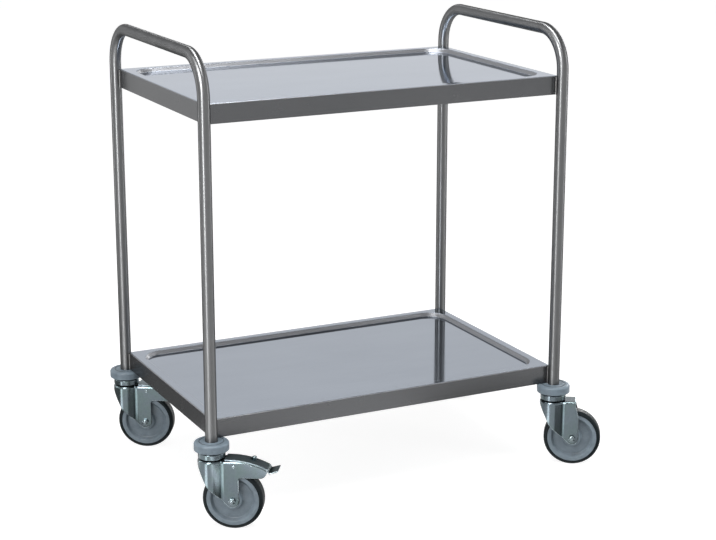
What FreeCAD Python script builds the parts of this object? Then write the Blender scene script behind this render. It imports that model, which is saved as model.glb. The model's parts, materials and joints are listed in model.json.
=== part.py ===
"""Hostess trolley: two pressed stainless shelves carried by two bent-tube end frames,
which roll on four swivel casters. The two casters at the left end have a foot brake.

Millimetres. +Z is up, +X runs along the shelves to the right-hand end, and -Y is the
long side that faces the viewer. Everything is built about the shelves' plan centre on
the floor, and then moved so that the origin is the bottom centre of the whole trolley.
A caster is built about its own swivel axis with its wheel trailing along +X, then
turned to its heading and set under its post.
"""
import FreeCAD, Part
import math
import os

from FreeCAD import Vector

# Shelves: one pressed sheet each, with a raised flat border round a shallow well
SHELF_LENGTH = 800.0
SHELF_WIDTH = 500.0
SHELF_SHEET = 1.2
RIM_DEPTH = 40.0
RIM_BEND_RADIUS = 2.5
HEM_WIDTH = 10.0
BORDER_WIDTH = 19.0
WELL_DEPTH = 8.0
WELL_SLOPE_RUN = 5.0
WELL_CORNER_RADIUS = 48.0
WELL_EDGE_RADIUS = 3.0
SHELF_PITCH = 642.0

# Damping pad glued under each well
PAD_THICKNESS = 3.0
PAD_INSET = 25.0
PAD_CORNER_RADIUS = 24.0

# End frames: front post, handle bar and rear post are one bent tube
TUBE_DIAMETER = 25.0
TUBE_WALL = 1.5
POST_BITE_LENGTHWISE = 7.5
POST_BITE_CROSSWISE = 3.1
HANDLE_RISE = 92.5
HANDLE_BEND_RADIUS = 82.0
WELD_GAP = 0.2
WELD_RADIUS = 2.2

# Wall bumper round the foot of each post
BUMPER_DIAMETER = 72.0
BUMPER_HEIGHT = 17.4
BUMPER_WALL = 4.0
BUMPER_HUB_WALL = 4.5
BUMPER_FLOOR = 2.0
BUMPER_EDGE_RADIUS = 5.0
BUMPER_INNER_RADIUS = 1.0
BUMPER_GROOVE_DIAMETER = 50.0
BUMPER_GROOVE_RADIUS = 1.2
BUMPER_TO_SHELF = 0.6

# Stem, expander and swivel head
STEM_DIAMETER = 12.0
STEM_LENGTH = 62.0
STEM_HEAD_DIAMETER = 20.0
STEM_HEAD_HEIGHT = 3.0
STEM_HEAD_RADIUS = 1.5
STEM_TIP_RADIUS = 1.0
EXPANDER_LENGTH = 55.0
EXPANDER_CLEARANCE = 0.1
EXPANDER_TIP_RADIUS = 1.5
EXPANDER_SLOT_WIDTH = 2.0
EXPANDER_SLOT_START = 13.75
HEAD_DIAMETER = 56.0
HEAD_HEIGHT = 18.0
HEAD_WALL = 2.5
HEAD_LIP_GAP = 2.5
HEAD_LIP_RADIUS = 0.8
HEAD_INNER_RADIUS = 1.25
HEAD_SHOULDER_HEIGHT = 5.0
BALL_DIAMETER = 6.0
BALL_CIRCLE_DIAMETER = 40.0
BALL_COUNT = 16
RUNNING_CLEARANCE = 0.05
SEAT_GAP = 0.3

# Wheel
WHEEL_DIAMETER = 125.0
WHEEL_WIDTH = 32.0
TREAD_THICKNESS = 8.5
TREAD_EDGE_RADIUS = 7.2
RIM_BAND = 8.0
RIM_WIDTH = 30.0
RIM_SLOPE_RUN = 5.0
WEB_WIDTH = 16.0
WEB_DISH = 1.0
WEB_BLEND_RADIUS = 3.0
WHEEL_EDGE_RADIUS = 1.5
HUB_DIAMETER = 36.0
HUB_SLOPE_RUN = 3.0
BEARING_DIAMETER = 28.0
BEARING_WIDTH = 8.0
BEARING_SHIELD_DEPTH = 0.6
BEARING_RING_WALL = 1.95
HUB_TO_FORK = 1.0
PRESS_GAP = 0.02

# Axle
BOLT_DIAMETER = 8.0
BOLT_HOLE_CLEARANCE = 0.1
HEX_ACROSS_FLATS = 13.0
HEX_CHAMFER = 1.0
BOLT_HEAD_HEIGHT = 5.3
NUT_HEIGHT = 6.5
BOLT_END = 2.0
BOLT_CHAMFER = 0.8
SLEEVE_DIAMETER = 12.0

# Fork, pressed from one sheet
FORK_SHEET = 2.5
FORK_INNER_WIDTH = 38.0
FORK_HEAD_DIAMETER = 58.0
WHEEL_TO_CROWN = 19.5
FORK_TRAIL = 44.0
FORK_TIP_RADIUS = 13.5
FORK_SHOULDER_RADIUS = 5.0
FORK_GROOVE_DEPTH = 2.0
FORK_GROOVE_END = 28.0
FORK_GROOVE_RADIUS = 2.0
FORK_LEG_BLEND_RADIUS = 12.0
FORK_FRONT_SKIRT = 7.0
FORK_KNEE_FORWARD = 51.0
FORK_KNEE_RISE = 30.5
FORK_KNEE_RADIUS = 35.0
CROWN_REAR = 50.0
REAR_NECK_DROP = 35.0
REAR_NECK_RADIUS = 20.0

# Foot brake of the braked casters
BRAKED_CROWN_REAR = 38.0
WING_LENGTH = 117.0
WING_DEPTH = 33.5
WING_CORNER_RADIUS = 14.0
WING_ROOT_RADIUS = 6.0
WING_TO_PEDAL_TOP = 3.0
PEDAL_SHEET = 2.0
PEDAL_EDGE_RADIUS = 1.4
PEDAL_FLANGE_SHEET = 1.5
PEDAL_FOLD_BITE = 0.4
PEDAL_SIDE_GAP = 0.4
PEDAL_FRONT = 30.0
PEDAL_ARCH_START = 40.0
PEDAL_ARCH_RADIUS = 173.0
PEDAL_FLANGE_DEPTH = 8.0
PEDAL_STEP_DROP = 7.0
PEDAL_STEP_RUN = 3.0
TREADLE_LENGTH = 17.0
TREADLE_RISE = 5.0
PIVOT_REACH = 48.0
PIVOT_DROP = 10.5
PIVOT_DIAMETER = 5.0
PIVOT_LUG_RADIUS = 5.5
PIN_END = 0.5
STUD_DIAMETER = 10.0
STUD_HEIGHT = 7.0
STUD_TOP_RADIUS = 2.5
STUD_REACH = 86.0
STUD_SIDE = 8.0
SHOE_REACH = 74.0
SHOE_LENGTH = 14.0
SHOE_WIDTH = 22.0
SHOE_CLEARANCE = 6.7
SPRING_WIRE = 1.2
SPRING_TURNS = 5
SPRING_PITCH = 1.8

# Each caster: corner it stands at, heading of its trailing wheel and whether it has a brake
CASTERS = {
    "front_left": {"corner": (-1, -1), "heading": -33.0, "braked": True},
    "rear_left": {"corner": (-1, 1), "heading": -30.0, "braked": True},
    "front_right": {"corner": (1, -1), "heading": -33.0, "braked": False},
    "rear_right": {"corner": (1, 1), "heading": -60.0, "braked": False},
}

# Heights that stack up from the floor
AXLE_HEIGHT = WHEEL_DIAMETER / 2
CROWN_UNDERSIDE = WHEEL_DIAMETER + WHEEL_TO_CROWN
CROWN_TOP = CROWN_UNDERSIDE + FORK_SHEET
PEDAL_TOP = CROWN_TOP + WING_TO_PEDAL_TOP
HEAD_TOP = CROWN_TOP + HEAD_HEIGHT
BUMPER_TOP = HEAD_TOP + BUMPER_HEIGHT
POST_FOOT = HEAD_TOP + BUMPER_FLOOR
LOWER_SHELF_TOP = BUMPER_TOP + BUMPER_TO_SHELF + RIM_DEPTH
UPPER_SHELF_TOP = LOWER_SHELF_TOP + SHELF_PITCH
HANDLE_HEIGHT = UPPER_SHELF_TOP + HANDLE_RISE
PIVOT_HEIGHT = CROWN_TOP - PIVOT_DROP

# Plan positions and half widths
TUBE_RADIUS = TUBE_DIAMETER / 2
TUBE_BORE_RADIUS = TUBE_RADIUS - TUBE_WALL
POST_X = SHELF_LENGTH / 2 + TUBE_RADIUS - POST_BITE_LENGTHWISE
POST_Y = SHELF_WIDTH / 2 + TUBE_RADIUS - POST_BITE_CROSSWISE
FORK_INNER_HALF = FORK_INNER_WIDTH / 2
FORK_OUTER_HALF = FORK_INNER_HALF + FORK_SHEET
PEDAL_HALF_WIDTH = FORK_INNER_HALF - PEDAL_SIDE_GAP

UP = Vector(0, 0, 1)
LATERAL = Vector(0, 1, 0)
ORIGIN = Vector(0, 0, 0)

# How far a trimming block reaches past what it trims, and how near an edge is to where it is sought
PAST = 1.0
NEAR = 0.01


# ---------------------------------------------------------------- drawing helpers
def rounded_outline(corners):
    """Closed wire through corners, each a (point, radius) pair, rounded by its radius."""
    starts = []
    arcs = []
    count = len(corners)
    for index, (corner, radius) in enumerate(corners):
        before = corners[index - 1][0] - corner
        after = corners[(index + 1) % count][0] - corner
        if radius <= 0:
            starts.append((corner, corner))
            arcs.append(None)
            continue
        half_angle = before.getAngle(after) / 2
        setback = radius / math.tan(half_angle)
        first = corner + before.normalize() * setback
        last = corner + after.normalize() * setback
        to_centre = (before + after).normalize()
        middle = corner + to_centre * (radius / math.sin(half_angle) - radius)
        starts.append((first, last))
        arcs.append(Part.Arc(first, middle, last).toShape())
    edges = []
    for index in range(count):
        if arcs[index] is not None:
            edges.append(arcs[index])
        leave = starts[index][1]
        arrive = starts[(index + 1) % count][0]
        if leave.distanceToPoint(arrive) > 1e-6:
            edges.append(Part.LineSegment(leave, arrive).toShape())
    return Part.Wire(edges)


def side_plate(corners, half_width):
    """Plate with a side outline of (reach, height, radius) corners, across the caster."""
    outline = rounded_outline([(Vector(s, -half_width, z), r) for s, z, r in corners])
    return Part.Face(outline).extrude(LATERAL * 2 * half_width)


def turned(corners, axis_point, axis):
    """Solid turned about an axis from a section of (along, radius, rounding) corners."""
    outwards = UP if abs(axis.z) < 0.5 else Vector(1, 0, 0)
    section = []
    for along, radius, rounding in corners:
        section.append((axis_point + axis * along + outwards * radius, rounding))
    return Part.Face(rounded_outline(section)).revolve(axis_point, axis, 360)


def rod(radius, base, direction, length):
    return Part.makeCylinder(radius, length, base, direction)


def cross_rod(radius, reach, height, half_length):
    """Round rod across the caster, centred on it."""
    return rod(radius, Vector(reach, -half_length, height), LATERAL, 2 * half_length)


def hexagon(across_flats, height, base, direction):
    """Hexagonal block whose outer corners are chamfered by a cone."""
    sixth = math.pi / 3
    corner_radius = across_flats / 2 / math.cos(sixth / 2)
    points = []
    for corner in range(7):
        angle = sixth * corner
        points.append(Vector(corner_radius * math.cos(angle), corner_radius * math.sin(angle), 0))
    block = Part.Face(Part.makePolygon(points)).extrude(UP * height)
    straight = height - HEX_CHAMFER
    cone = Part.makeCone(corner_radius, corner_radius - 2 * HEX_CHAMFER, HEX_CHAMFER, UP * straight, UP)
    block = block.common(rod(corner_radius, ORIGIN, UP, straight).fuse(cone))
    block.Placement = FreeCAD.Placement(base, FreeCAD.Rotation(UP, direction))
    return block


def one_solid(shape):
    """The cleaned shape, which has to be a single solid."""
    clean = shape.removeSplitter()
    if len(clean.Solids) != 1:
        raise ValueError("expected one solid, found %d" % len(clean.Solids))
    return clean.Solids[0]


def mirrored_rectangle(length, width, radius, height):
    """Rounded rectangle about the plan centre, at a height."""
    half_length = length / 2
    half_width = width / 2
    corners = [(-1, -1), (1, -1), (1, 1), (-1, 1)]
    points = [Vector(sx * half_length, sy * half_width, height) for sx, sy in corners]
    return rounded_outline([(point, radius) for point in points])


# ---------------------------------------------------------------- shelves
def well_block(top_z, growth):
    """Tapered block that fills a shelf's well, grown outwards by a sheet's thickness."""
    slope_shift = growth * WELL_SLOPE_RUN / WELL_DEPTH
    outer = growth * math.hypot(1, WELL_SLOPE_RUN / WELL_DEPTH) - slope_shift
    length = SHELF_LENGTH - 2 * BORDER_WIDTH + 2 * outer
    width = SHELF_WIDTH - 2 * BORDER_WIDTH + 2 * outer
    depth = WELL_DEPTH + growth
    run = WELL_SLOPE_RUN * depth / WELL_DEPTH
    top = mirrored_rectangle(length, width, WELL_CORNER_RADIUS + outer, top_z)
    floor = mirrored_rectangle(
        length - 2 * run, width - 2 * run, WELL_CORNER_RADIUS + outer - run, top_z - depth
    )
    block = Part.makeLoft([top, floor], True, True)
    floor_edges = [e for e in block.Edges if e.BoundBox.ZMax < top_z - depth + NEAR]
    return block.makeFillet(WELL_EDGE_RADIUS + growth, floor_edges)


def rim_block(top_z, inset):
    """Box of a shelf's outside, or of the space inside its sheet, with rounded top edges."""
    length = SHELF_LENGTH - 2 * inset
    width = SHELF_WIDTH - 2 * inset
    bottom = top_z - RIM_DEPTH
    box = Part.makeBox(length, width, RIM_DEPTH - inset, Vector(-length / 2, -width / 2, bottom))
    top_edges = [e for e in box.Edges if e.BoundBox.ZMin > top_z - inset - NEAR]
    return box.makeFillet(RIM_BEND_RADIUS - inset, top_edges)


def hem(top_z):
    """Flange folded inwards along the bottom of the rim."""
    bottom = top_z - RIM_DEPTH
    sheet = Vector(0, 0, SHELF_SHEET)
    outer = mirrored_rectangle(SHELF_LENGTH - SHELF_SHEET, SHELF_WIDTH - SHELF_SHEET, 0, bottom)
    inner = mirrored_rectangle(SHELF_LENGTH - 2 * HEM_WIDTH, SHELF_WIDTH - 2 * HEM_WIDTH, 0, bottom)
    return Part.Face(outer).extrude(sheet).cut(Part.Face(inner).extrude(sheet))


def post_rods(radius, low_z, high_z):
    """Upright rods on the four post axes."""
    rods = []
    for caster in CASTERS.values():
        sx, sy = caster["corner"]
        rods.append(rod(radius, Vector(sx * POST_X, sy * POST_Y, low_z), UP, high_z - low_z))
    return rods


def shelf(top_z):
    """Pressed shelf, coped at its corners round the posts."""
    sheet = rim_block(top_z, 0).cut(rim_block(top_z, SHELF_SHEET))
    sheet = sheet.fuse([hem(top_z), well_block(top_z, SHELF_SHEET)]).cut(well_block(top_z, 0))
    lip_reach = SHELF_LENGTH / 2 - BORDER_WIDTH + NEAR
    lip_edges = []
    for edge in sheet.Edges:
        box = edge.BoundBox
        if box.ZMin > top_z - NEAR and box.XMax < lip_reach and box.XMin > -lip_reach:
            lip_edges.append(edge)
    sheet = sheet.makeFillet(WELL_EDGE_RADIUS, lip_edges)
    copes = post_rods(TUBE_RADIUS + WELD_GAP, top_z - RIM_DEPTH - PAST, top_z + PAST)
    return one_solid(sheet.cut(copes))


def damping_pad(top_z):
    """Pad stuck to the underside of a well's floor."""
    inset = BORDER_WIDTH + WELL_SLOPE_RUN + PAD_INSET
    top = top_z - WELL_DEPTH - SHELF_SHEET
    length = SHELF_LENGTH - 2 * inset
    width = SHELF_WIDTH - 2 * inset
    outline = mirrored_rectangle(length, width, PAD_CORNER_RADIUS, top - PAD_THICKNESS)
    return Part.Face(outline).extrude(UP * PAD_THICKNESS)


def shelf_welds(top_z, shelf_solid):
    """Two upright beads at each corner, in the grooves between rim and post."""
    cope_radius = TUBE_RADIUS + WELD_GAP
    bottom = top_z - RIM_DEPTH
    length = RIM_DEPTH - RIM_BEND_RADIUS
    front_x = POST_X - math.sqrt(cope_radius ** 2 - (POST_Y - SHELF_WIDTH / 2) ** 2)
    side_y = POST_Y - math.sqrt(cope_radius ** 2 - (POST_X - SHELF_LENGTH / 2) ** 2)
    out = WELD_RADIUS / 2
    beads = []
    for caster in CASTERS.values():
        sx, sy = caster["corner"]
        foot = Vector(sx * POST_X, sy * POST_Y, bottom - PAST)
        post = rod(TUBE_RADIUS, foot, UP, RIM_DEPTH + 2 * PAST)
        places = [(front_x - out, SHELF_WIDTH / 2 + out / 2), (SHELF_LENGTH / 2 + out / 2, side_y - out)]
        for x, y in places:
            base = Vector(sx * x, sy * y, bottom)
            bead = rod(WELD_RADIUS, base, UP, length).cut([post, shelf_solid])
            beads.extend([solid for solid in bead.Solids if solid.isInside(base + UP * PAST, NEAR, True)])
    return Part.makeCompound(beads)


# ---------------------------------------------------------------- end frames
def u_rod(radius, x):
    """Rod along the centreline of an end frame: post, bend, bar, bend, post."""
    bend_z = HANDLE_HEIGHT - HANDLE_BEND_RADIUS
    bend_y = POST_Y - HANDLE_BEND_RADIUS
    pieces = [rod(radius, Vector(x, -bend_y, HANDLE_HEIGHT), LATERAL, 2 * bend_y)]
    for side in (-1, 1):
        pieces.append(rod(radius, Vector(x, side * POST_Y, POST_FOOT), UP, bend_z - POST_FOOT))
        ring = Part.Face(Part.Wire(Part.makeCircle(radius, Vector(x, side * POST_Y, bend_z), UP)))
        pieces.append(ring.revolve(Vector(x, side * bend_y, bend_z), Vector(side, 0, 0), 90))
    return pieces[0].fuse(pieces[1:])


def end_frame(x):
    """One bent tube: two posts and the push handle between them."""
    return one_solid(u_rod(TUBE_RADIUS, x).cut(u_rod(TUBE_BORE_RADIUS, x)))


# ---------------------------------------------------------------- swivel head, about its own axis
def bumper():
    """Hollow plastic ring: a top, an outer wall and a hub that the post stands in."""
    outer = BUMPER_DIAMETER / 2
    hole = TUBE_RADIUS + WELD_GAP
    hub = hole + BUMPER_HUB_WALL
    roof = BUMPER_HEIGHT - BUMPER_WALL
    groove = BUMPER_GROOVE_DIAMETER / 2
    section = [
        (0, outer, BUMPER_INNER_RADIUS),
        (BUMPER_HEIGHT, outer, BUMPER_EDGE_RADIUS),
        (BUMPER_HEIGHT, hole, BUMPER_INNER_RADIUS),
        (BUMPER_FLOOR, hole, 0),
        (BUMPER_FLOOR, STEM_DIAMETER / 2 + WELD_GAP, 0),
        (0, STEM_DIAMETER / 2 + WELD_GAP, 0),
        (0, hub, 0),
        (roof, hub, BUMPER_INNER_RADIUS),
        (roof, outer - BUMPER_WALL, BUMPER_INNER_RADIUS),
        (0, outer - BUMPER_WALL, 0),
    ]
    ring = turned(section, Vector(0, 0, HEAD_TOP), UP)
    groove_ring = Part.makeTorus(groove, BUMPER_GROOVE_RADIUS, Vector(0, 0, BUMPER_TOP), UP)
    return one_solid(ring.cut(groove_ring))


def stem():
    """Kingpin riveted under the crown, running up into the post."""
    radius = STEM_DIAMETER / 2
    head_radius = STEM_HEAD_DIAMETER / 2
    head_top = CROWN_UNDERSIDE - SEAT_GAP
    section = [
        (head_top - STEM_HEAD_HEIGHT, 0, 0),
        (head_top - STEM_HEAD_HEIGHT, head_radius, STEM_HEAD_RADIUS),
        (head_top, head_radius, 0),
        (head_top, radius, 0),
        (POST_FOOT + STEM_LENGTH, radius, STEM_TIP_RADIUS),
        (POST_FOOT + STEM_LENGTH, 0, 0),
    ]
    return turned(section, ORIGIN, UP)


def expander():
    """Slotted sleeve that the stem spreads inside the post."""
    outer = TUBE_BORE_RADIUS - EXPANDER_CLEARANCE
    bore = STEM_DIAMETER / 2 + RUNNING_CLEARANCE
    section = [
        (0, bore, 0),
        (0, outer, 0),
        (EXPANDER_LENGTH, outer, EXPANDER_TIP_RADIUS),
        (EXPANDER_LENGTH, bore, 0),
    ]
    sleeve = turned(section, Vector(0, 0, POST_FOOT), UP)
    slot_corner = Vector(-TUBE_DIAMETER, -EXPANDER_SLOT_WIDTH / 2, POST_FOOT + EXPANDER_SLOT_START)
    slot = Part.makeBox(2 * TUBE_DIAMETER, EXPANDER_SLOT_WIDTH, EXPANDER_LENGTH, slot_corner)
    return one_solid(sleeve.cut(slot))


def race_cover():
    """Upper race: a pressed cup over the ball ring, clamped under the bumper."""
    outer = HEAD_DIAMETER / 2
    bore = STEM_DIAMETER / 2 + RUNNING_CLEARANCE
    lip = CROWN_TOP + HEAD_LIP_GAP
    ceiling = CROWN_TOP + BALL_DIAMETER + SEAT_GAP
    shoulder = HEAD_TOP - HEAD_SHOULDER_HEIGHT
    section = [
        (lip, outer - HEAD_WALL, 0),
        (lip, outer, HEAD_LIP_RADIUS),
        (shoulder, outer, HEAD_WALL),
        (HEAD_TOP, outer - HEAD_SHOULDER_HEIGHT, HEAD_WALL),
        (HEAD_TOP, bore, 0),
        (ceiling, bore, 0),
        (ceiling, outer - HEAD_WALL, HEAD_INNER_RADIUS),
    ]
    return turned(section, ORIGIN, UP)


def ball_ring():
    """Bearing balls on the crown."""
    balls = []
    for index in range(BALL_COUNT):
        angle = 2 * math.pi * index / BALL_COUNT
        reach = BALL_CIRCLE_DIAMETER / 2
        height = CROWN_TOP + BALL_DIAMETER / 2
        centre = Vector(reach * math.cos(angle), reach * math.sin(angle), height)
        balls.append(Part.makeSphere(BALL_DIAMETER / 2, centre))
    return Part.makeCompound(balls)


# ---------------------------------------------------------------- fork
def upright_edges(block, reach):
    """Upright edges of a block at a reach from the swivel axis."""
    found = []
    for edge in block.Edges:
        box = edge.BoundBox
        if box.XLength < NEAR and box.YLength < NEAR and abs(box.XMin - reach) < NEAR:
            found.append(edge)
    return found


def fork_block(inset, rear):
    """Solid of the fork's outside, or of the space inside its sheet, before trimming.

    In plan the round head runs into a groove on each side, which opens into the flat leg.
    """
    head = FORK_HEAD_DIAMETER / 2 - inset
    half = FORK_OUTER_HALF - inset
    waist = half - FORK_GROOVE_DEPTH
    top = CROWN_TOP - inset
    junction = math.sqrt(head ** 2 - waist ** 2)
    slope = math.atan2(FORK_GROOVE_DEPTH, FORK_GROOVE_END - junction)
    leg_start = FORK_GROOVE_END + inset * math.tan(slope / 2)
    near_side = [Vector(junction, -waist, 0), Vector(leg_start, -half, 0), Vector(rear, -half, 0)]
    far_side = [Vector(rear, half, 0), Vector(leg_start, half, 0), Vector(junction, waist, 0)]
    points = near_side + far_side
    edges = [Part.Arc(points[-1], Vector(-head, 0, 0), points[0]).toShape()]
    for start, end in zip(points, points[1:]):
        edges.append(Part.LineSegment(start, end).toShape())
    block = Part.Face(Part.Wire(edges)).extrude(UP * top)
    block = block.makeFillet(FORK_GROOVE_RADIUS + inset, upright_edges(block, junction))
    block = block.makeFillet(FORK_LEG_BLEND_RADIUS - inset, upright_edges(block, leg_start))
    shoulders = []
    for edge in block.Edges:
        box = edge.BoundBox
        if box.ZMin > top - NEAR and box.XMin < rear - NEAR:
            shoulders.append(edge)
    return block.makeFillet(FORK_SHOULDER_RADIUS - inset, shoulders)


def leg_corners():
    """Side outline shared by both forks, from the front skirt round the tip."""
    front = -FORK_HEAD_DIAMETER / 2 - PAST
    knee = Vector(FORK_TRAIL - FORK_KNEE_FORWARD, 0, AXLE_HEIGHT + FORK_KNEE_RISE)
    reach = math.hypot(FORK_KNEE_FORWARD, FORK_KNEE_RISE)
    fall = math.atan2(FORK_KNEE_RISE, FORK_KNEE_FORWARD) + math.asin(FORK_TIP_RADIUS / reach)
    rear = FORK_TRAIL + FORK_TIP_RADIUS
    tip_height = knee.z - (rear - knee.x) * math.tan(fall)
    return [
        (front, CROWN_TOP + PAST, 0),
        (front, CROWN_TOP - FORK_FRONT_SKIRT, 0),
        (knee.x, knee.z, FORK_KNEE_RADIUS),
        (rear, tip_height, FORK_TIP_RADIUS),
    ]


def arch_angle(drop, start, end):
    """Angle that the pedal's arch turns through between two reaches, lowered by drop."""
    return math.asin((end - start) / (PEDAL_ARCH_RADIUS - drop))


def arch_corners(drop, start, end):
    """Corner and end point of the pedal's arch, lowered by drop, between two reaches."""
    radius = PEDAL_ARCH_RADIUS - drop
    angle = arch_angle(drop, start, end)
    corner = (start + radius * math.tan(angle / 2), PEDAL_TOP - drop, radius)
    finish = (end, PEDAL_TOP - drop - radius * (1 - math.cos(angle)), 0)
    return [corner, finish]


def plain_fork_outline():
    rear = FORK_TRAIL + FORK_TIP_RADIUS
    return leg_corners() + [
        (rear, CROWN_TOP - REAR_NECK_DROP, REAR_NECK_RADIUS),
        (CROWN_REAR, CROWN_TOP - FORK_FRONT_SKIRT, 0),
        (CROWN_REAR, CROWN_TOP + PAST, 0),
    ]


def braked_fork_outline():
    """The same leg with a wing that runs back beside the pedal."""
    rear = FORK_TRAIL + FORK_TIP_RADIUS
    wing_low = CROWN_TOP - WING_DEPTH
    arch, arch_end = arch_corners(WING_TO_PEDAL_TOP, PEDAL_ARCH_START, WING_LENGTH)
    return leg_corners() + [
        (rear, wing_low, WING_ROOT_RADIUS),
        (WING_LENGTH - WING_CORNER_RADIUS / 2, wing_low, WING_CORNER_RADIUS),
        arch_end,
        arch,
        (PEDAL_ARCH_START, CROWN_TOP, 0),
        (PEDAL_ARCH_START, CROWN_TOP + PAST, 0),
    ]


def fork(braked):
    """Fork: round head, crown and two legs."""
    rear = WING_LENGTH + WING_CORNER_RADIUS
    outline = braked_fork_outline() if braked else plain_fork_outline()
    shell = fork_block(0, rear).cut(fork_block(FORK_SHEET, rear + PAST))
    body = shell.common(side_plate(outline, FORK_HEAD_DIAMETER))
    kingpin_hole = rod(STEM_DIAMETER / 2 + RUNNING_CLEARANCE, ORIGIN, UP, HEAD_TOP)
    axle_radius = BOLT_DIAMETER / 2 + BOLT_HOLE_CLEARANCE
    axle_hole = cross_rod(axle_radius, FORK_TRAIL, AXLE_HEIGHT, FORK_HEAD_DIAMETER)
    body = body.cut([kingpin_hole, axle_hole])
    if braked:
        gap_corner = Vector(BRAKED_CROWN_REAR, -FORK_INNER_HALF, 0)
        pedal_gap = Part.makeBox(2 * rear, FORK_INNER_WIDTH, HEAD_TOP, gap_corner)
        pin_hole = cross_rod(PIVOT_DIAMETER / 2, PIVOT_REACH, PIVOT_HEIGHT, FORK_HEAD_DIAMETER)
        body = body.cut([pedal_gap, pin_hole])
    return one_solid(body)


# ---------------------------------------------------------------- wheel and axle
def axle_point():
    return Vector(FORK_TRAIL, 0, AXLE_HEIGHT)


def axle_bolt():
    """Hexagon bolt through both legs, and its nut on the near side."""
    radius = BOLT_DIAMETER / 2
    centre = axle_point()
    near_end = FORK_OUTER_HALF + NUT_HEIGHT + BOLT_END
    shank = rod(radius, centre - LATERAL * near_end, LATERAL, near_end + FORK_OUTER_HALF)
    shank_end = [e for e in shank.Edges if e.BoundBox.YMax < -near_end + NEAR]
    shank = shank.makeChamfer(BOLT_CHAMFER, shank_end)
    head = hexagon(HEX_ACROSS_FLATS, BOLT_HEAD_HEIGHT, centre + LATERAL * FORK_OUTER_HALF, LATERAL)
    nut = hexagon(HEX_ACROSS_FLATS, NUT_HEIGHT, centre - LATERAL * FORK_OUTER_HALF, -LATERAL)
    nut_bore = cross_rod(radius + RUNNING_CLEARANCE, FORK_TRAIL, AXLE_HEIGHT, FORK_HEAD_DIAMETER)
    return Part.makeCompound([one_solid(shank.fuse(head)), one_solid(nut.cut(nut_bore))])


def spacer_sleeve():
    """Tube between the legs that the bearings run on."""
    tube = cross_rod(SLEEVE_DIAMETER / 2, FORK_TRAIL, AXLE_HEIGHT, FORK_INNER_HALF)
    bore = cross_rod(BOLT_DIAMETER / 2 + BOLT_HOLE_CLEARANCE, FORK_TRAIL, AXLE_HEIGHT, FORK_INNER_HALF)
    return tube.cut(bore)


def bearing_start():
    """Distance from the wheel's middle plane to the inner face of a bearing."""
    return FORK_INNER_HALF - HUB_TO_FORK - BEARING_SHIELD_DEPTH - BEARING_WIDTH


def bearings():
    """Two ring bearings with dished shields."""
    inner = SLEEVE_DIAMETER / 2 + RUNNING_CLEARANCE
    outer = BEARING_DIAMETER / 2 - PRESS_GAP
    start = bearing_start()
    end = start + BEARING_WIDTH
    rings = []
    for side in (-1, 1):
        section = [
            (side * start, inner, 0),
            (side * start, outer, 0),
            (side * end, outer, 0),
            (side * end, outer - BEARING_RING_WALL, 0),
            (side * (end - BEARING_SHIELD_DEPTH), outer - BEARING_RING_WALL, 0),
            (side * (end - BEARING_SHIELD_DEPTH), inner + BEARING_RING_WALL, 0),
            (side * end, inner + BEARING_RING_WALL, 0),
            (side * end, inner, 0),
        ]
        rings.append(turned(section, axle_point(), LATERAL))
    return Part.makeCompound(rings)


def wheel_core():
    """Moulded wheel centre: rim band, dished web and hub with two bearing seats."""
    rim_outer = WHEEL_DIAMETER / 2 - TREAD_THICKNESS
    rim_inner = rim_outer - RIM_BAND
    half_rim = RIM_WIDTH / 2
    half_web = WEB_WIDTH / 2
    half_hub = FORK_INNER_HALF - HUB_TO_FORK
    hub = HUB_DIAMETER / 2
    hub_foot = hub + HUB_SLOPE_RUN
    seat = BEARING_DIAMETER / 2
    shoulder = (seat + SLEEVE_DIAMETER / 2) / 2
    stop = bearing_start()
    half = [
        (stop, shoulder, 0),
        (stop, seat, 0),
        (half_hub, seat, 0),
        (half_hub, hub, WHEEL_EDGE_RADIUS),
        (half_web + WEB_DISH, hub_foot, WEB_BLEND_RADIUS),
        (half_web, rim_inner - RIM_SLOPE_RUN, WEB_BLEND_RADIUS),
        (half_rim, rim_inner, WHEEL_EDGE_RADIUS),
        (half_rim, rim_outer, 0),
    ]
    mirror = [(-along, radius, rounding) for along, radius, rounding in reversed(half)]
    return turned(half + mirror, axle_point(), LATERAL)


def tyre():
    """Rubber tread with rounded shoulders."""
    outer = WHEEL_DIAMETER / 2
    inner = outer - TREAD_THICKNESS + PRESS_GAP
    half_rim = RIM_WIDTH / 2
    half = [
        (half_rim, inner, 0),
        (WHEEL_WIDTH / 2, inner + (WHEEL_WIDTH - RIM_WIDTH) / 2, 0),
        (WHEEL_WIDTH / 2, outer, TREAD_EDGE_RADIUS),
    ]
    mirror = [(-along, radius, rounding) for along, radius, rounding in reversed(half)]
    return turned(half + mirror, axle_point(), LATERAL)


# ---------------------------------------------------------------- foot brake
def under_arch(drop, half_width):
    """Block of everything below the pedal's upper face, lowered by drop."""
    arch, arch_end = arch_corners(drop, PEDAL_ARCH_START, WING_LENGTH)
    corners = [(PEDAL_FRONT, 0, 0), (PEDAL_FRONT, PEDAL_TOP - drop, 0), arch, arch_end, (WING_LENGTH, 0, 0)]
    return side_plate(corners, half_width)


def pedal_arch():
    """The pedal's flat front and arch, whose long upper edges are rounded over."""
    sheet = under_arch(0, PEDAL_HALF_WIDTH).cut(under_arch(PEDAL_SHEET, PEDAL_HALF_WIDTH))
    upper_edges = []
    for edge in sheet.Edges:
        if isinstance(edge.Curve, Part.Circle) and abs(edge.Curve.Radius - PEDAL_ARCH_RADIUS) < NEAR:
            upper_edges.append(edge)
    return sheet.makeFillet(PEDAL_EDGE_RADIUS, upper_edges)


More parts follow.
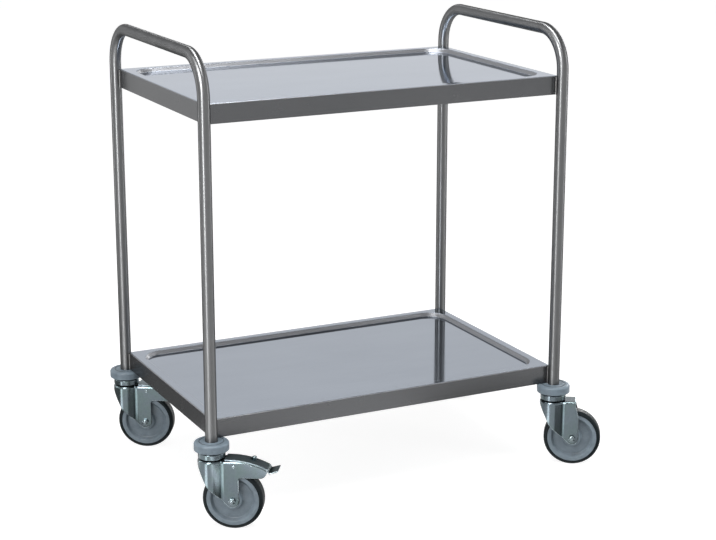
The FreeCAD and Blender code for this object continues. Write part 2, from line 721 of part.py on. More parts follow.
def treadle():
    """The step down from the arch and the treadle that turns up from it."""
    half = PEDAL_SHEET / 2
    arch_end = arch_corners(half, PEDAL_ARCH_START, WING_LENGTH)[1][1]
    step_top = Vector(WING_LENGTH - half, -PEDAL_HALF_WIDTH, arch_end)
    step_foot = step_top + Vector(half + PEDAL_STEP_RUN, 0, -PEDAL_STEP_DROP)
    tip = step_foot + Vector(TREADLE_LENGTH, 0, TREADLE_RISE)
    step = Part.LineSegment(step_top, step_foot).toShape()
    plate = Part.LineSegment(step_foot, tip).toShape()
    outline = Part.Wire([step, plate]).makeOffset2D(half)
    return Part.Face(outline).extrude(LATERAL * 2 * PEDAL_HALF_WIDTH)


def pedal_flanges():
    """Two flanges folded down under the sheet's long edges, with lugs for the pin."""
    front = BRAKED_CROWN_REAR + PEDAL_SHEET
    lug_rear = PIVOT_REACH + 2 * PIVOT_LUG_RADIUS
    lug_low = PIVOT_HEIGHT - PIVOT_LUG_RADIUS
    rear = WING_LENGTH - PEDAL_FLANGE_DEPTH
    rear_top = arch_corners(0, PEDAL_ARCH_START, rear)[1][1]
    corners = [
        (front, PEDAL_TOP, 0),
        (front, lug_low, PIVOT_LUG_RADIUS),
        (lug_rear, lug_low, PIVOT_LUG_RADIUS),
        (rear, rear_top - PEDAL_FLANGE_DEPTH, PEDAL_FLANGE_DEPTH / 2),
        (rear, PEDAL_TOP, 0),
    ]
    outer = side_plate(corners, PEDAL_HALF_WIDTH)
    inner = side_plate(corners, PEDAL_HALF_WIDTH - PEDAL_FLANGE_SHEET)
    return outer.cut(inner).common(under_arch(PEDAL_SHEET - PEDAL_FOLD_BITE, PEDAL_HALF_WIDTH))


def pedal_stud():
    """Round stud that stands on the arch, to be trodden on."""
    top_height = arch_corners(0, PEDAL_ARCH_START, STUD_REACH)[1][1]
    base = Vector(STUD_REACH, STUD_SIDE, top_height - PEDAL_SHEET)
    stud = rod(STUD_DIAMETER / 2, base, UP, STUD_HEIGHT + PEDAL_SHEET)
    top_edge = [e for e in stud.Edges if e.BoundBox.ZMin > base.z + PAST]
    return stud.makeFillet(STUD_TOP_RADIUS, top_edge).cut(under_arch(PEDAL_SHEET, PEDAL_HALF_WIDTH))


def brake_pedal():
    """Arched pedal: top sheet with treadle, two side flanges and a stud."""
    pin_radius = PIVOT_DIAMETER / 2 + RUNNING_CLEARANCE
    pin_hole = cross_rod(pin_radius, PIVOT_REACH, PIVOT_HEIGHT, FORK_HEAD_DIAMETER)
    return one_solid(pedal_arch().fuse([treadle(), pedal_flanges(), pedal_stud()]).cut(pin_hole))


def brake_shoe():
    """Block under the pedal whose face follows the tread."""
    half_width = SHOE_WIDTH / 2
    block = Part.makeBox(SHOE_LENGTH, SHOE_WIDTH, HEAD_TOP, Vector(SHOE_REACH, -half_width, AXLE_HEIGHT))
    tread = cross_rod(WHEEL_DIAMETER / 2 + SHOE_CLEARANCE, FORK_TRAIL, AXLE_HEIGHT, half_width)
    return one_solid(block.common(under_arch(PEDAL_SHEET, half_width)).cut(tread))


def pedal_pin():
    """Pin through both wings, which the pedal turns on."""
    return cross_rod(PIVOT_DIAMETER / 2, PIVOT_REACH, PIVOT_HEIGHT, FORK_OUTER_HALF + PIN_END)


def pedal_spring():
    """Coil spring round the pedal's pin."""
    coil_radius = (PIVOT_DIAMETER + SPRING_WIRE) / 2 + SEAT_GAP
    length = SPRING_TURNS * SPRING_PITCH
    helix = Part.makeHelix(SPRING_PITCH, length, coil_radius)
    start = helix.Vertexes[0].Point
    section = Part.Wire(Part.makeCircle(SPRING_WIRE / 2, start, LATERAL))
    coil = Part.Wire(helix.Edges).makePipeShell([section], True, True)
    coil.translate(UP * (-length / 2))
    coil.rotate(ORIGIN, Vector(1, 0, 0), -90)
    coil.translate(Vector(PIVOT_REACH, 0, PIVOT_HEIGHT))
    return coil


# ---------------------------------------------------------------- the whole trolley
def caster_pieces(braked):
    """Pieces of one caster, about its own swivel axis."""
    pieces = {
        "bumper": bumper(),
        "stem": stem(),
        "expander": expander(),
        "race_cover": race_cover(),
        "ball_ring": ball_ring(),
        "fork": fork(braked),
        "axle_bolt": axle_bolt(),
        "spacer_sleeve": spacer_sleeve(),
        "bearings": bearings(),
        "wheel_core": wheel_core(),
        "tyre": tyre(),
    }
    if braked:
        pieces["brake_pedal"] = brake_pedal()
        pieces["brake_shoe"] = brake_shoe()
        pieces["pedal_pin"] = pedal_pin()
        pieces["pedal_spring"] = pedal_spring()
    return pieces


def frame_pieces():
    """The welded frame with its shelves."""
    upper = shelf(UPPER_SHELF_TOP)
    lower = shelf(LOWER_SHELF_TOP)
    return {
        "left_end_frame": end_frame(-POST_X),
        "right_end_frame": end_frame(POST_X),
        "upper_shelf": upper,
        "lower_shelf": lower,
        "upper_damping_pad": damping_pad(UPPER_SHELF_TOP),
        "lower_damping_pad": damping_pad(LOWER_SHELF_TOP),
        "upper_shelf_welds": shelf_welds(UPPER_SHELF_TOP, upper),
        "lower_shelf_welds": shelf_welds(LOWER_SHELF_TOP, lower),
    }


def placed_casters():
    """All casters, turned to their headings and set under their posts."""
    placed = {}
    for name, caster in CASTERS.items():
        sx, sy = caster["corner"]
        spot = FreeCAD.Placement(
            Vector(sx * POST_X, sy * POST_Y, 0), FreeCAD.Rotation(UP, caster["heading"])
        )
        for piece, shape in caster_pieces(caster["braked"]).items():
            copy = shape.copy()
            copy.Placement = spot.multiply(copy.Placement)
            placed[name + "_" + piece] = copy
    return placed


def centring(shapes):
    """Move that brings the whole trolley's bottom centre to the origin."""
    whole = FreeCAD.BoundBox()
    for shape in shapes.values():
        whole.add(shape.optimalBoundingBox(False))
    return Vector(-whole.Center.x, -whole.Center.y, 0)


def build():
    """Every node's shape by name, about the trolley's bottom centre, and the move made."""
    shapes = frame_pieces()
    shapes.update(placed_casters())
    move = centring(shapes)
    for shape in shapes.values():
        shape.translate(move)
    return shapes, move


NODES, CENTRING = build()

os.makedirs("parts", exist_ok=True)
for node_name, node_shape in NODES.items():
    node_shape.exportStep("parts/" + node_name + ".step")
print("%d nodes, moved by %.3f, %.3f" % (len(NODES), CENTRING.x, CENTRING.y))
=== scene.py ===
"""A two-shelf stainless hostess trolley on four swivel casters: its finishes, light and camera.

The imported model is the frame, in metres, +Z up, with the origin on the floor under the middle of
the trolley. Every node of it is shown as it is and takes a procedural finish here. Sizes that the
finishes need are read from the nodes' own boxes.
"""

import json
import math

import bpy
from mathutils import Euler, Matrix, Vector

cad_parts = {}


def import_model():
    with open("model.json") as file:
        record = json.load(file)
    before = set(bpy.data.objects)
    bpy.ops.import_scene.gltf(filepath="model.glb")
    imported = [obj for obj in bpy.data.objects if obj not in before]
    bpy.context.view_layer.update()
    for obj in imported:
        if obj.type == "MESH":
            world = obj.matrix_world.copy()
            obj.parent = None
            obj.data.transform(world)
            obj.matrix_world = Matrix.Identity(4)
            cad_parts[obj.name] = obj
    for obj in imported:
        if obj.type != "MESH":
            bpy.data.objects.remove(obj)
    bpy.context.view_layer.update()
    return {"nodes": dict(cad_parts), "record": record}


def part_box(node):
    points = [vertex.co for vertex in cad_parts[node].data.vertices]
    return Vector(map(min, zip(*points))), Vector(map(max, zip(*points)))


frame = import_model()

# ---------------------------------------------------------------- driving values

MILLIMETRE = 0.001
SENSOR_WIDTH_MM = 36.0
IMAGE_WIDTH = 716
FOCAL_PIXELS = 1786.4

CAMERA_PLACE = (-1.6670, -3.3944, 1.4531)
CAMERA_DOWN = 15.135
CAMERA_TURN = 26.279

FLOOR_SIZE = 60.0
FLOOR_GREY = 0.42
FLOOR_ROUGHNESS = 0.9
FLOOR_GLOW = 0.88

# How bright the studio is for the rays that light things, and its brightness where it is seen or
# mirrored, from the horizon (0) to straight overhead (1)
SKY_LIGHT = 0.40
SKY_STOPS = ((0.0, 0.98), (0.40, 1.0), (0.66, 0.66), (1.0, 0.52))
SKY_BLUE = 1.01

# Nearly all of a soft noise lies between these two values
NOISE_RANGE = (0.3, 0.7)

TUBE_RADIUS = 12.5 * MILLIMETRE
TUBE_BEND = 82.0 * MILLIMETRE
TUBE_ROUGHNESS = (0.31, 0.38)
TUBE_ANISOTROPY = 0.75
STEEL_TUBE = (0.128, 0.130, 0.132)
STEEL_TUBE_EDGE = (0.38, 0.38, 0.38)

# Painted reflection and shade on one brushed sheet: pale on the flats, darker on the well's walls, darkest on
# the rims, and a darker copy of the flats for the lower shelf
STEEL_FLOOR_LIT = (0.402, 0.463, 0.560)
STEEL_LOWER_FLOOR_SHADED = (0.352, 0.391, 0.446)
STEEL_WALL_SHADED = (0.225, 0.230, 0.242)
STEEL_RIM_SHADED = (0.108, 0.110, 0.114)
STEEL_SHEET_EDGE = (0.83, 0.83, 0.83)
SHEET_DULL = (0.925, 0.93, 0.935)
SHEET_ROUGHNESS = (0.055, 0.085)
RIM_ROUGHNESS = 0.19
WALL_ROUGHNESS = 0.33

# How much a sheet's surface faces up, over the range in which it turns from a rim into a wall,
# from a wall into a floor, and from a bend into a flat
SHEET_LEANING = (0.15, 0.40)
SHEET_LYING = (0.80, 0.97)
SHEET_UNBENT = (0.90, 0.995)

STEEL_WELD = (0.150, 0.150, 0.151)
WELD_TINT = (0.132, 0.128, 0.123)
WELD_ROUGHNESS = (0.34, 0.52)

ZINC = (0.122, 0.148, 0.158)
# Colour of the zinc's sharp edges: partly rubbed bare metal, partly a painted highlight
ZINC_EDGE_WEAR_AND_HIGHLIGHT = (0.52, 0.60, 0.62)
ZINC_TRODDEN = (0.19, 0.225, 0.24)
ZINC_GREEN_CAST = (0.95, 1.01, 0.98)
ZINC_BLUE_CAST = (0.99, 0.99, 1.04)
ZINC_DULL = (0.91, 0.92, 0.92)
BRIGHT_STEEL = (0.20, 0.23, 0.24)
EDGE_REACH = 1.3 * MILLIMETRE
EDGE_SHARPNESS = (0.985, 0.88)

# Painted shade in the plated creases: the colour they are darkened to, and the reach and openness of the
# ambient-occlusion mask that finds them
CREASE_SHADE = (0.018, 0.034, 0.038)
CREASE_REACH = 12 * MILLIMETRE
CREASE_OPENNESS = (0.72, 0.985)
# Painted shade in the plastics' recesses: the reach and openness of the ambient-occlusion mask, and the share
# of its colour that a recess keeps
RECESS_REACH = 16 * MILLIMETRE
RECESS_OPENNESS = (0.50, 0.97)
RECESS_SHADE = 0.35

BUMPER_GREY = (0.190, 0.243, 0.288)
WHEEL_GREY = (0.228, 0.282, 0.326)
TREAD_BLACK = (0.008, 0.013, 0.015)
SHOE_BLACK = (0.02, 0.02, 0.02)
PAD_GREY = (0.06, 0.06, 0.065)
NYLON_WHITE = (0.62, 0.62, 0.58)
PLASTIC_GLOSS = 0.28
RUBBER_GLOSS = 0.12

# Each soft lamp that lights the trolley, and each panel overhead that shows in metal alone: its
# name, its place, the point that it is aimed at, its size and its power
MIDDLE = (0.0, 0.0, 0.45)
SOFT_LAMPS = (
    ("top_panel", (-0.3, -0.5, 3.2), MIDDLE, (2.0, 2.0), 88.0),
    ("left_fill", (-3.0, -1.0, 1.0), MIDDLE, (1.4, 1.4), 30.0),
    ("right_fill", (2.2, -2.6, 0.8), (0.4, -0.2, 0.1), (1.0, 1.0), 28.0),
)
OVERHEAD_PANELS = (
    ("over_left", (-2.2, -1.6, 2.9), (0.0, 0.0, 0.9), (1.3, 1.5), 150.0),
    ("over_middle", (0.0, 0.0, 3.1), MIDDLE, (0.5, 2.6), 90.0),
)

# Each upright strip lamp: its name, its turn round the trolley from the camera's side in degrees,
# its distance, its width and its power
STRIPS = (
    ("strip_left", 28.0, 2.4, 0.40, 42.0),
    ("strip_right", -92.0, 2.6, 0.30, 16.0),
    ("strip_behind_left", 98.0, 2.6, 0.26, 12.0),
    ("strip_behind_right", -150.0, 2.6, 0.30, 26.0),
)
STRIP_HEIGHT = 1.15
STRIP_LENGTH = 2.2

# Strips that lie on the floor and run away from a post, at this turn from the camera's side: the
# upright metal of a caster mirrors the floor, and these draw its highlights
FLOOR_STRIP_TURN = 42.0
FLOOR_STRIP_START = 0.20
FLOOR_STRIP_SIZE = (0.09, 1.10)
FLOOR_STRIP_POWER = 1.3
FLOOR_STRIP_RISE = 5 * MILLIMETRE

# Dark card on the floor beside each strip, which the metal mirrors as its dark side: the turns
# between which it lies, how far it reaches from the post, and its brightness at each post
CARD_TURNS = (-85.0, -12.0)
CARD_REACH = (0.10, 0.50)
CARD_STEPS = 12
CARD_RISE = 3 * MILLIMETRE
CARD_ROUGHNESS = 0.5
CARD_LEVELS = {"front_left": 0.06, "front_right": 0.32, "rear_left": 0.34}

# Dark card on the floor at the left-hand end: its low and high corner
LEFT_CARD = ((-1.40, 0.14), (-0.46, 1.50))
LEFT_CARD_LEVEL = 0.30

# ---------------------------------------------------------------- a material under construction


class Finish:
    """A material being built: it makes nodes, joins them and sets the shader's own sockets."""

    def __init__(self, name, colour, roughness, metallic=0.0):
        self.material = bpy.data.materials.new(name)
        self.material.use_nodes = True
        self.tree = self.material.node_tree
        self.shader = self.tree.nodes["Principled BSDF"]
        self.colour = colour
        self.set("Base Color", (*colour, 1.0))
        self.set("Roughness", roughness)
        self.set("Metallic", metallic)

    def set(self, socket, value):
        """A constant, or the output of another node, on a socket of the shader."""
        if isinstance(value, bpy.types.NodeSocket):
            self.tree.links.new(value, self.shader.inputs[socket])
        else:
            self.shader.inputs[socket].default_value = value

    def node(self, kind, settings=None, **inputs):
        """A node with its settings and inputs. An input is a constant or another node's output,
        and its name is the socket's own, or an underscore and the socket's number."""
        made = self.tree.nodes.new(kind)
        for name, value in (settings or {}).items():
            setattr(made, name, value)
        for name, value in inputs.items():
            socket = made.inputs[int(name[1:])] if name[0] == "_" else made.inputs[name]
            if isinstance(value, bpy.types.NodeSocket):
                self.tree.links.new(value, socket)
            else:
                socket.default_value = value
        return made

    def place(self):
        """The point's place in the trolley's own frame, in metres."""
        return self.node("ShaderNodeTexCoord").outputs["Object"]

    def normal(self):
        """The surface's direction in the piece's own frame."""
        return self.node("ShaderNodeTexCoord").outputs["Normal"]

    def vector(self, operation, first, second):
        """One vector operation on two vectors."""
        return self.node("ShaderNodeVectorMath", {"operation": operation}, _0=first, _1=second).outputs[0]

    def number(self, operation, *values):
        """One arithmetic operation on one or two numbers."""
        inputs = {"_" + str(place): value for place, value in enumerate(values)}
        return self.node("ShaderNodeMath", {"operation": operation}, **inputs).outputs[0]

    def weigh(self, first, share, second):
        """Two numbers added, the first by its share and the second by the rest."""
        larger = self.number("MULTIPLY", first, share)
        return self.number("ADD", larger, self.number("MULTIPLY", second, 1.0 - share))

    def parts_of(self, vector):
        """The X, Y and Z of a vector."""
        return self.node("ShaderNodeSeparateXYZ", Vector=vector).outputs

    def join(self, x, y, z):
        """A vector from its three numbers."""
        return self.node("ShaderNodeCombineXYZ", X=x, Y=y, Z=z).outputs[0]

    def noise(self, size, detail=3.0, stretch=(1.0, 1.0, 1.0), where=None):
        """Soft noise whose lumps are size metres across, drawn out along an axis by stretch."""
        scales = tuple(1.0 / (size * along) for along in stretch)
        scaled = self.vector("MULTIPLY", where or self.place(), scales)
        return self.node("ShaderNodeTexNoise", Vector=scaled, Scale=1.0, Detail=detail).outputs["Fac"]

    def spread(self, value, low, high, to_low, to_high, smooth=False):
        """A number mapped from one range to another and kept inside it."""
        settings = {"interpolation_type": "SMOOTHSTEP"} if smooth else {}
        inputs = {"_0": value, "_1": low, "_2": high, "_3": to_low, "_4": to_high}
        return self.node("ShaderNodeMapRange", settings, **inputs).outputs[0]

    def mix(self, factor, first, second, blend="MIX"):
        """Two colours mixed."""
        first = (*first, 1.0) if isinstance(first, tuple) and len(first) == 3 else first
        second = (*second, 1.0) if isinstance(second, tuple) and len(second) == 3 else second
        settings = {"data_type": "RGBA", "blend_type": blend}
        return self.node("ShaderNodeMix", settings, _0=factor, _6=first, _7=second).outputs[2]

    def shade(self, value, depth):
        """The finish's colour made lighter and darker by a pattern, by depth at the most."""
        dark = tuple(part * (1.0 - depth) for part in self.colour)
        light = tuple(min(1.0, part * (1.0 + depth)) for part in self.colour)
        return self.mix(value, dark, light)

    def crevice(self, reach, deep, shallow):
        """Ambient-occlusion mask for painted shade: one in a crease of the piece as deep as deep, nothing
        where it is as open as shallow.
        """
        settings = {"samples": 8, "only_local": True}
        openness = self.node("ShaderNodeAmbientOcclusion", settings, Distance=reach).outputs["AO"]
        return self.spread(openness, deep, shallow, 1.0, 0.0)

    def bump(self, height, depth, under=None):
        """A relief, depth metres high, over another relief if one is given."""
        inputs = {"Strength": 1.0, "Distance": depth, "Height": height}
        if under is not None:
            inputs["Normal"] = under
        return self.node("ShaderNodeBump", **inputs).outputs[0]


# ---------------------------------------------------------------- stainless steel


def tube_axis(finish, bend_start):
    """The bent tube's own direction at a point: up in the posts, level in the handle's bar."""
    x, y, z = finish.parts_of(finish.place())
    rise = finish.spread(z, bend_start, bend_start + TUBE_BEND, 0.0, 1.0)
    side = finish.number("SIGN", y)
    level = finish.number("MULTIPLY", finish.number("MULTIPLY", rise, side), -1.0)
    steep = finish.number("SUBTRACT", 1.0, finish.number("MULTIPLY", rise, rise))
    upright = finish.number("POWER", steep, 0.5)
    return finish.join(0.0, level, upright)


def ground_tube():
    """Satin ground tube: fine rings of scratches round it, which draw each highlight out along it."""
    finish = Finish("ground_tube", STEEL_TUBE, 0.34, metallic=1.0)
    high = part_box("left_end_frame")[1]
    along = tube_axis(finish, high.z - TUBE_RADIUS - TUBE_BEND)
    finish.set("Tangent", along)
    finish.set("Anisotropic", TUBE_ANISOTROPY)
    finish.set("Specular Tint", (*STEEL_TUBE_EDGE, 1.0))
    scratches = finish.noise(0.9 * MILLIMETRE, 2.0, (14.0, 14.0, 1.0))
    clouds = finish.noise(55 * MILLIMETRE, 4.0, (1.0, 1.0, 2.6))
    rubbed_and_sheen = finish.noise(11 * MILLIMETRE, 3.0, (1.0, 1.0, 1.6))
    tone = finish.weigh(clouds, 0.65, scratches)
    finish.set("Base Color", finish.shade(finish.spread(tone, 0.35, 0.65, 0.0, 1.0), 0.06))
    finish.set("Roughness", finish.spread(rubbed_and_sheen, *NOISE_RANGE, *TUBE_ROUGHNESS))
    finish.set("Normal", finish.bump(scratches, 0.008 * MILLIMETRE))
    return finish.material


def sheet_grain(finish):
    """Scratches along the sheet: along X on the flats and the long rims, down the short rims."""
    x, y, z = finish.parts_of(finish.place())
    sideways = finish.number("ABSOLUTE", finish.parts_of(finish.normal())[1])
    upright = finish.number("GREATER_THAN", sideways, 0.7)
    other = finish.number("SUBTRACT", 1.0, upright)
    on_rim = finish.number("MULTIPLY", z, upright)
    on_flat = finish.number("MULTIPLY", y, other)
    across = finish.number("ADD", on_rim, on_flat)
    along = finish.number("MULTIPLY", z, other)
    scales = (9.0, 900.0, 9.0)
    lines = [finish.number("MULTIPLY", part, scale) for part, scale in zip((x, across, along), scales)]
    return finish.node("ShaderNodeTexNoise", Vector=finish.join(*lines), Scale=1.0, Detail=3.0).outputs["Fac"]


def brushed_sheet(name, lit_floor_colour):
    """Brushed sheet with painted reflection and shade: pale where it lies flat, darker on the upright rims
    and the well's walls.
    """
    finish = Finish(name, lit_floor_colour, 0.22, metallic=1.0)
    finish.set("Specular Tint", (*STEEL_SHEET_EDGE, 1.0))
    grain = sheet_grain(finish)
    clouds = finish.noise(120 * MILLIMETRE, 4.0, (2.2, 1.0, 1.0))
    wiped = finish.noise(34 * MILLIMETRE, 4.0, (3.0, 1.0, 1.0))
    up = finish.parts_of(finish.normal())[2]
    lying = finish.spread(up, *SHEET_LYING, 0.0, 1.0, smooth=True)
    leaning = finish.spread(up, *SHEET_LEANING, 0.0, 1.0, smooth=True)
    # Painted shade: the colour goes from the lit floor colour on the flats to the shaded wall and rim colours
    # as the surface turns upright
    colour = finish.mix(lying, finish.mix(leaning, STEEL_RIM_SHADED, STEEL_WALL_SHADED), lit_floor_colour)
    dull = finish.mix(1.0, colour, SHEET_DULL, "MULTIPLY")
    tone = finish.spread(finish.weigh(clouds, 0.6, grain), 0.38, 0.62, 0.0, 1.0)
    finish.set("Base Color", finish.mix(tone, dull, colour))
    bent = finish.spread(up, *SHEET_UNBENT, 1.0, 0.0)
    coarser = finish.number("MULTIPLY", bent, finish.spread(leaning, 0.0, 1.0, RIM_ROUGHNESS, WALL_ROUGHNESS))
    smooth = finish.spread(wiped, *NOISE_RANGE, *SHEET_ROUGHNESS)
    finish.set("Roughness", finish.number("ADD", smooth, coarser))
    finish.set("Normal", finish.bump(grain, 0.0015 * MILLIMETRE))
    return finish.material


def weld():
    """Small fillet welds, brushed over, with a trace of heat colour."""
    finish = Finish("weld_bead_brushed", STEEL_WELD, 0.42, metallic=1.0)
    ripples = finish.noise(1.6 * MILLIMETRE, 2.0, (2.5, 2.5, 1.0))
    heat = finish.noise(9 * MILLIMETRE, 2.0)
    finish.set("Base Color", finish.mix(finish.spread(heat, 0.4, 0.65, 0.0, 1.0), STEEL_WELD, WELD_TINT))
    finish.set("Roughness", finish.spread(ripples, *NOISE_RANGE, *WELD_ROUGHNESS))
    finish.set("Normal", finish.bump(ripples, 0.25 * MILLIMETRE))
    return finish.material


# ---------------------------------------------------------------- caster metals


def tinted(colour, tint):
    """A colour with each of its parts times the tint's."""
    return tuple(part * by for part, by in zip(colour, tint))


def zinc_plate(name="zinc_plate", colour=ZINC, roughness=0.20):
    """Bright plate on pressed sheet: a cast that drifts, edges made lighter as part wear and part painted
    highlight, and painted shade in the creases.
    """
    finish = Finish(name, colour, roughness, metallic=1.0)
    drift = finish.noise(24 * MILLIMETRE, 2.0)
    spots = finish.noise(4.5 * MILLIMETRE, 3.0)
    casts = tinted(colour, ZINC_GREEN_CAST), tinted(colour, ZINC_BLUE_CAST)
    cast = finish.mix(finish.spread(drift, 0.38, 0.62, 0.0, 1.0), *casts)
    dulled = finish.mix(1.0, cast, ZINC_DULL, "MULTIPLY")
    plated = finish.mix(finish.spread(spots, 0.40, 0.66, 0.0, 1.0), cast, dulled)
    # The sharp edges are painted lighter: partly wear, partly a painted highlight
    rounded = finish.node("ShaderNodeBevel", {"samples": 8}, Radius=EDGE_REACH).outputs[0]
    rubbed_and_sheen = finish.mix(edge_wear(finish, rounded), plated, ZINC_EDGE_WEAR_AND_HIGHLIGHT)
    # Painted shade: the creases are darkened where the ambient-occlusion mask finds them
    crease_shade_mask = finish.crevice(CREASE_REACH, *CREASE_OPENNESS)
    finish.set("Base Color", finish.mix(crease_shade_mask, rubbed_and_sheen, CREASE_SHADE))
    finish.set("Roughness", finish.spread(spots, *NOISE_RANGE, roughness - 0.02, roughness + 0.03))
    finish.set("Normal", finish.bump(finish.noise(12 * MILLIMETRE, 1.0), 0.003 * MILLIMETRE, rounded))
    return finish.material


def edge_wear(finish, rounded):
    """One on a sharp edge, where the rounded surface turns away from the face, and else nothing."""
    face = finish.node("ShaderNodeNewGeometry").outputs["True Normal"]
    settings = {"operation": "DOT_PRODUCT"}
    turned = finish.node("ShaderNodeVectorMath", settings, _0=rounded, _1=face).outputs["Value"]
    return finish.spread(turned, *EDGE_SHARPNESS, 0.0, 1.0)


# ---------------------------------------------------------------- plastics and rubber


def moulded(name, colour, roughness, grain=0.5 * MILLIMETRE, relief=0.03 * MILLIMETRE, gloss=PLASTIC_GLOSS):
    """Moulded plastic or rubber with a fine grain, soft wear and painted shade in its recesses."""
    finish = Finish(name, colour, roughness)
    fine = finish.noise(grain, 2.0)
    soft = finish.noise(14 * MILLIMETRE, 4.0)
    scuffs = finish.noise(4.5 * MILLIMETRE, 5.0, (1.0, 1.0, 0.35))
    tone = finish.weigh(soft, 0.7, scuffs)
    worn = finish.shade(finish.spread(tone, 0.36, 0.64, 0.0, 1.0), 0.12)
    # Painted shade: the recesses are darkened where the ambient-occlusion mask finds them
    recess_shaded = tuple(part * RECESS_SHADE for part in colour)
    finish.set("Base Color", finish.mix(finish.crevice(RECESS_REACH, *RECESS_OPENNESS), worn, recess_shaded))
    finish.set("Specular IOR Level", gloss)
    finish.set("Roughness", finish.spread(scuffs, 0.35, 0.65, roughness - 0.08, roughness + 0.10))
    finish.set("Normal", finish.bump(fine, relief))
    return finish.material


# ---------------------------------------------------------------- dressing the nodes


def dress():
    """Gives every node its finish, by the record's own material slots."""
    slots = {
        "stainless_tube": ground_tube(),
        "weld_bead": weld(),
        "zinc_plated_steel": zinc_plate(),
        "trodden": zinc_plate("zinc_plate_trodden", ZINC_TRODDEN, 0.42),
        "bright_steel": zinc_plate("bright_turned_steel", BRIGHT_STEEL, 0.22),
        "bumper_plastic": moulded("bumper_plastic_grey", BUMPER_GREY, 0.46),
        "wheel_plastic": moulded("wheel_plastic_grey", WHEEL_GREY, 0.42),
        "tread_rubber": moulded("tread_rubber_dark", TREAD_BLACK, 0.50, 0.8 * MILLIMETRE, gloss=RUBBER_GLOSS),
        "shoe_rubber": moulded("shoe_rubber_black", SHOE_BLACK, 0.6),
        "damping_pad": moulded("damping_pad_grey", PAD_GREY, 0.85, 1.2 * MILLIMETRE, 0.2 * MILLIMETRE),
        "nylon": moulded("nylon_natural", NYLON_WHITE, 0.4),
    }
    sheets = {
        "upper_shelf": brushed_sheet("brushed_sheet_upper", STEEL_FLOOR_LIT),
        # The lower shelf takes a darker copy of the floor colour, as painted shade
        "lower_shelf": brushed_sheet("brushed_sheet_lower", STEEL_LOWER_FLOOR_SHADED),
    }
    node_slots = {part["node"]: part["material_slot"] for part in frame["record"]["subparts"]}
    for name, piece in frame["nodes"].items():
        slot = "trodden" if name.endswith("brake_pedal") else node_slots[name]
        material = sheets.get(name) or slots[slot]
        piece.data.materials.clear()
        piece.data.materials.append(material)


# ---------------------------------------------------------------- floor, light and camera


def seen_or_mirrored(tree):
    """One for rays from the camera and for reflections, nothing for the rays that light things."""
    path = tree.nodes.new("ShaderNodeLightPath")
    first = tree.nodes.new("ShaderNodeMath")
    second = tree.nodes.new("ShaderNodeMath")
    for made, inputs in (
        (first, (path.outputs["Is Camera Ray"], path.outputs["Is Glossy Ray"])),
        (second, (first.outputs[0], path.outputs["Is Transmission Ray"])),
    ):
        made.operation = "MAXIMUM"
        tree.links.new(inputs[0], made.inputs[0])
        tree.links.new(inputs[1], made.inputs[1])
    return second.outputs[0]


def plain_material(name, grey, roughness, glow):
    """A matt grey that also glows white."""
    made = bpy.data.materials.new(name)
    made.use_nodes = True
    shader = made.node_tree.nodes["Principled BSDF"]
    shader.inputs["Base Color"].default_value = (grey, grey, grey, 1.0)
    shader.inputs["Roughness"].default_value = roughness
    shader.inputs["Specular IOR Level"].default_value = 0.0
    shader.inputs["Emission Color"].default_value = (1.0, 1.0, 1.0, 1.0)
    shader.inputs["Emission Strength"].default_value = glow
    return made


def flat_piece(name, outline, height, material):
    """A level face with this outline, at a height above the ground."""
    mesh = bpy.data.meshes.new(name)
    corners = [(x, y, height) for x, y in outline]
    mesh.from_pydata(corners, [], [tuple(range(len(corners)))])
    mesh.materials.append(material)
    made = bpy.data.objects.new(name, mesh)
    bpy.context.scene.collection.objects.link(made)
    return made


def rectangle(low, high):
    """The outline of a rectangle from its low and its high corner."""
    (x0, y0), (x1, y1) = low, high
    return [(x0, y0), (x1, y0), (x1, y1), (x0, y1)]


def floor():
    """A plain pale floor that shows white and keeps the trolley's soft shadow."""
    material = plain_material("studio_floor_white", FLOOR_GREY, FLOOR_ROUGHNESS, FLOOR_GLOW)
    tree = material.node_tree
    glow = tree.nodes.new("ShaderNodeMath")
    glow.operation = "MULTIPLY"
    glow.inputs[1].default_value = FLOOR_GLOW
    tree.links.new(seen_or_mirrored(tree), glow.inputs[0])
    tree.links.new(glow.outputs[0], tree.nodes["Principled BSDF"].inputs["Emission Strength"])
    half = FLOOR_SIZE / 2
    flat_piece("studio_floor", rectangle((-half, -half), (half, half)), 0.0, material)


def sky_colours(tree, back):
    """The studio's brightness from the horizon up, on the background's colour."""
    where = tree.nodes.new("ShaderNodeTexCoord")
    split = tree.nodes.new("ShaderNodeSeparateXYZ")
    ramp = tree.nodes.new("ShaderNodeValToRGB")
    tree.links.new(where.outputs["Generated"], split.inputs[0])
    tree.links.new(split.outputs["Z"], ramp.inputs[0])
    tree.links.new(ramp.outputs[0], back.inputs["Color"])
    elements = ramp.color_ramp.elements
    elements[0].position = SKY_STOPS[0][0]
    elements[1].position = SKY_STOPS[-1][0]
    for height, level in SKY_STOPS[1:-1]:
        elements.new(height)
    for element, (height, level) in zip(elements, SKY_STOPS):
        element.color = (level, level, level * SKY_BLUE, 1.0)


def world():
    """A soft studio: pale round the horizon, dimmer overhead, and dimmer where it lights things."""
    made = bpy.data.worlds.new("studio")
    bpy.context.scene.world = made
    made.use_nodes = True
    tree = made.node_tree
    back = tree.nodes["Background"]
    sky_colours(tree, back)
    strength = tree.nodes.new("ShaderNodeMapRange")
    strength.inputs["To Min"].default_value = SKY_LIGHT
    strength.inputs["To Max"].default_value = 1.0
    tree.links.new(seen_or_mirrored(tree), strength.inputs["Value"])
    tree.links.new(strength.outputs[0], back.inputs["Strength"])


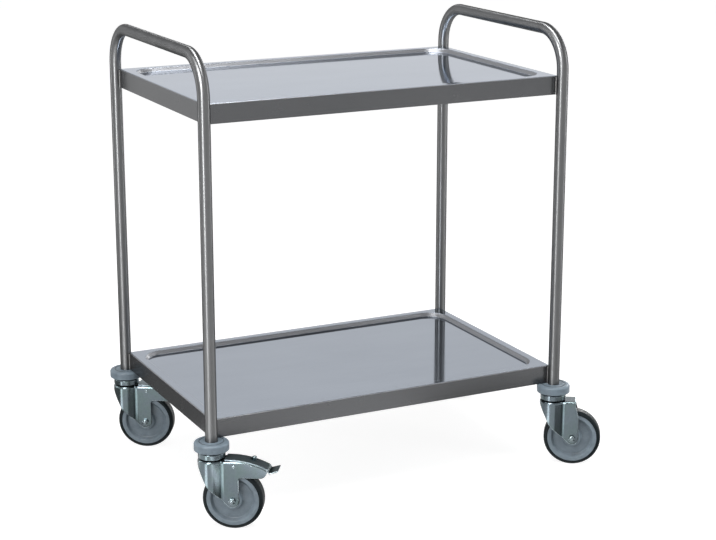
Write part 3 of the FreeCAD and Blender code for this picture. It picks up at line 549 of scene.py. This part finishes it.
def lamp(name, place, aim, size, power, mirrored):
    """A soft rectangular lamp, aimed at a point: either one that shows in metal or one that lights."""
    data = bpy.data.lights.new(name, "AREA")
    data.shape = "RECTANGLE"
    data.size, data.size_y = size
    data.energy = power
    made = bpy.data.objects.new(name, data)
    bpy.context.scene.collection.objects.link(made)
    made.location = place
    made.rotation_euler = (Vector(aim) - Vector(place)).to_track_quat("-Z", "Y").to_euler()
    made.visible_camera = False
    made.visible_glossy = mirrored
    made.visible_diffuse = not mirrored
    return made


def from_post(post, turn, reach):
    """The point on the floor at this distance from a post, at a turn from the camera's side."""
    angle = math.radians(CAMERA_TURN + turn)
    return post[0] - reach * math.sin(angle), post[1] - reach * math.cos(angle)


def upright_strip(name, turn, reach, width, power):
    """A tall narrow lamp beside the trolley; only metal and gloss show it."""
    place = (*from_post((0.0, 0.0), turn, reach), STRIP_HEIGHT)
    lamp(name, place, (0.0, 0.0, STRIP_HEIGHT), (width, STRIP_LENGTH), power, mirrored=True)


def floor_strip(name, post):
    """A narrow lamp that faces up and runs away from a post; only metal and gloss show it."""
    reach = FLOOR_STRIP_START + FLOOR_STRIP_SIZE[1] / 2
    place = (*from_post(post, FLOOR_STRIP_TURN, reach), FLOOR_STRIP_RISE)
    made = lamp(name, place, (0.0, 0.0, 1.0), FLOOR_STRIP_SIZE, FLOOR_STRIP_POWER, mirrored=True)
    made.rotation_euler = Euler((math.pi, 0.0, -math.radians(CAMERA_TURN + FLOOR_STRIP_TURN)))


def sector(post):
    """The outline of a part of a ring on the floor round a post."""
    first, last = CARD_TURNS
    turns = [first + (last - first) * step / CARD_STEPS for step in range(CARD_STEPS + 1)]
    near, far = CARD_REACH
    inner = [from_post(post, turn, near) for turn in turns]
    outer = [from_post(post, turn, far) for turn in turns]
    return inner + outer[::-1]


def dark_card(name, outline, level):
    """A dark card that lies on the floor; only metal and gloss show it."""
    material = plain_material(name, 0.0, CARD_ROUGHNESS, level)
    made = flat_piece(name, outline, CARD_RISE, material)
    made.visible_camera = False
    made.visible_diffuse = False
    made.visible_shadow = False
    made.visible_transmission = False


def lights():
    """A broad top light and soft fills, and the strips and cards that the metal mirrors."""
    for name, place, aim, size, power in SOFT_LAMPS:
        lamp(name, place, aim, size, power, mirrored=False)
    for strip in STRIPS:
        upright_strip(*strip)
    for name, place, aim, size, power in OVERHEAD_PANELS:
        lamp(name, place, aim, size, power, mirrored=True)
    for corner, level in CARD_LEVELS.items():
        low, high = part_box(corner + "_stem")
        post = (low + high) / 2
        floor_strip(corner + "_floor_strip", post)
        dark_card(corner + "_dark_card", sector(post), level)
    dark_card("left_dark_card", rectangle(*LEFT_CARD), LEFT_CARD_LEVEL)


def camera():
    """The camera at the photograph's viewing angle."""
    data = bpy.data.cameras.new("camera")
    data.sensor_width = SENSOR_WIDTH_MM
    data.lens = FOCAL_PIXELS / IMAGE_WIDTH * SENSOR_WIDTH_MM
    made = bpy.data.objects.new("camera", data)
    bpy.context.scene.collection.objects.link(made)
    made.location = CAMERA_PLACE
    tilt = math.radians(90.0 - CAMERA_DOWN)
    made.rotation_euler = Euler((tilt, 0.0, -math.radians(CAMERA_TURN)))
    bpy.context.scene.camera = made


dress()
floor()
world()
lights()
camera()
bpy.context.scene.view_settings.view_transform = "Standard"
